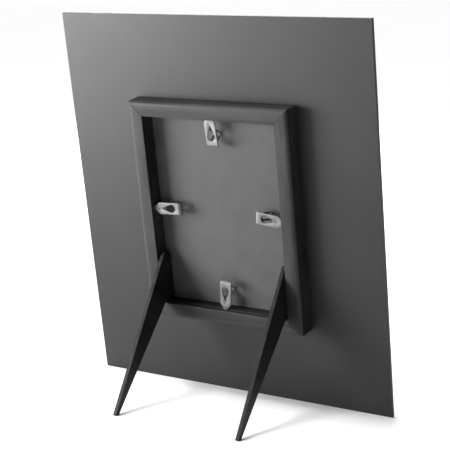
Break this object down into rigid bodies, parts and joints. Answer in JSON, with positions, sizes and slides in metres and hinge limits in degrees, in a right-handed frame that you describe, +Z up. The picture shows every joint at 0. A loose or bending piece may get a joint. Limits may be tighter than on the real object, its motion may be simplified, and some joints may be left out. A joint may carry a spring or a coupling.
{
  "type": "photo frame",
  "caption": "Free-standing photo frame: wide flat black panel, mitred rear box with sliding spring clips over the back board, and two pull-out blade legs.",
  "frame": {"origin": "centre of the footprint, on the surface the frame stands on", "axes": "+Z up, -Y is the side the picture faces, +X is the frame's right as seen from the front"},
  "size_m": [0.35, 0.1332, 0.3967],
  "materials": {
    "lacquered_panel": "satin black lacquer",
    "black_rail": "black stain over fine grain",
    "grey_backing": "matt dark grey paper-faced board",
    "clear_glass": "clear",
    "print_paper": "semi-gloss photo paper, plain tonal bands",
    "spring_steel": "zinc-plated pressed sheet",
    "bright_steel": "zinc-plated",
    "black_steel": "satin black powder coat"
  },
  "bodies": {
    "frame": {"front_panel": "lacquered_panel", "glass_pane": "clear_glass", "photo_print": "print_paper", "back_board": "grey_backing", "rail_top": "black_rail", "rail_bottom": "black_rail", "rail_left": "black_rail", "rail_right": "black_rail", "corner_nail_top_left": "bright_steel", "corner_nail_top_right": "bright_steel", "corner_nail_bottom_left": "bright_steel", "corner_nail_bottom_right": "bright_steel", "leg_hanger_left": "black_steel", "leg_hanger_right": "black_steel", "hanger_screw_upper_left": "bright_steel", "hanger_screw_upper_right": "bright_steel", "hanger_screw_lower_left": "bright_steel", "hanger_screw_lower_right": "bright_steel"},
    "clip_top": {"clip_plate_top": "spring_steel", "clip_leaf_top": "spring_steel"},
    "clip_bottom": {"clip_plate_bottom": "spring_steel", "clip_leaf_bottom": "spring_steel"},
    "clip_left": {"clip_plate_left": "spring_steel", "clip_leaf_left": "spring_steel"},
    "clip_right": {"clip_plate_right": "spring_steel", "clip_leaf_right": "spring_steel"},
    "leg_left": {"leg_left": "black_steel"},
    "leg_right": {"leg_right": "black_steel"}
  },
  "joints": [
    {"name": "clip_top_slide", "type": "slide", "parent": "frame", "child": "clip_top", "axis": [-0.061, -0.1389, -0.9884], "range_m": [-0.0016, 0.0056]},
    {"name": "clip_bottom_slide", "type": "slide", "parent": "frame", "child": "clip_bottom", "axis": [-0.1045, 0.1384, 0.9848], "range_m": [-0.003, 0.003]},
    {"name": "clip_left_slide", "type": "slide", "parent": "frame", "child": "clip_left", "axis": [0.9945, 0.0145, 0.1035], "range_m": [-0.003, 0.003]},
    {"name": "clip_right_slide", "type": "slide", "parent": "frame", "child": "clip_right", "axis": [-0.999, 0.0061, 0.0432], "range_m": [-0.003, 0.003]},
    {"name": "leg_left_pull", "type": "slide", "parent": "frame", "child": "leg_left", "axis": [0, 0.9903, -0.1392], "range_m": [0, 0.024]},
    {"name": "leg_right_pull", "type": "slide", "parent": "frame", "child": "leg_right", "axis": [0, 0.9903, -0.1392], "range_m": [0, 0.024]}
  ]
}
